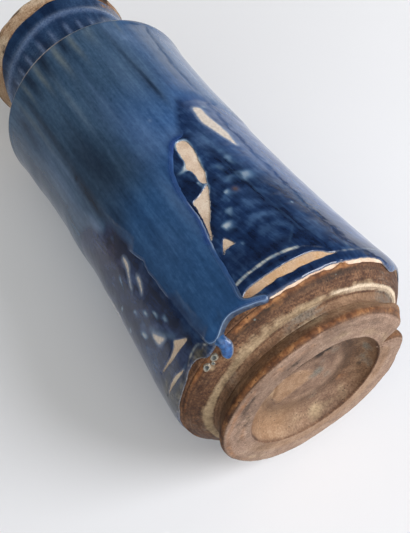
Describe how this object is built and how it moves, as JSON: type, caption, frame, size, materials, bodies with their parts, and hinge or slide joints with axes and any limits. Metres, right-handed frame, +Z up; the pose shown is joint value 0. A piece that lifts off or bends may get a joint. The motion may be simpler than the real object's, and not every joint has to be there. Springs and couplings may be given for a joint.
{
  "type": "albarello drug jar",
  "caption": "Tall waisted drug jar with a turned foot ring, sharp shoulder and flared lip, blue glaze over pale slip and bare clay heel; stands upright and holds stores through its mouth.",
  "frame": {"origin": "middle of the standing face of the foot ring", "axes": "+Z up the axis of the jar towards the mouth; -Y is the front, the side of the glaze run"},
  "size_m": [0.1294, 0.1294, 0.294],
  "materials": {
    "bare_clay": "matt fired clay",
    "lip_clay": "matt fired clay with worn slip",
    "luting_slip": "matt fired slip",
    "pale_slip": "thin clear gloss over matt slip",
    "painted_glaze": "glossy",
    "opaque_glaze": "glossy, streaked",
    "bead_glaze": "glossy",
    "lining_glaze": "glossy"
  },
  "bodies": {
    "root": {"foot_ring": "bare_clay", "foot_luting": "luting_slip", "base": "bare_clay", "wall_luting": "luting_slip", "wall": "bare_clay", "shoulder_luting": "luting_slip", "shoulder": "bare_clay", "neck_luting": "luting_slip", "neck": "lip_clay", "slip_coat": "pale_slip", "painted_glaze": "painted_glaze", "thick_glaze": "opaque_glaze", "glaze_run": "opaque_glaze", "run_drip": "opaque_glaze", "glaze_beads": "bead_glaze", "shoulder_glaze": "opaque_glaze", "neck_glaze": "painted_glaze", "inner_glaze": "lining_glaze"}
  },
  "joints": []
}
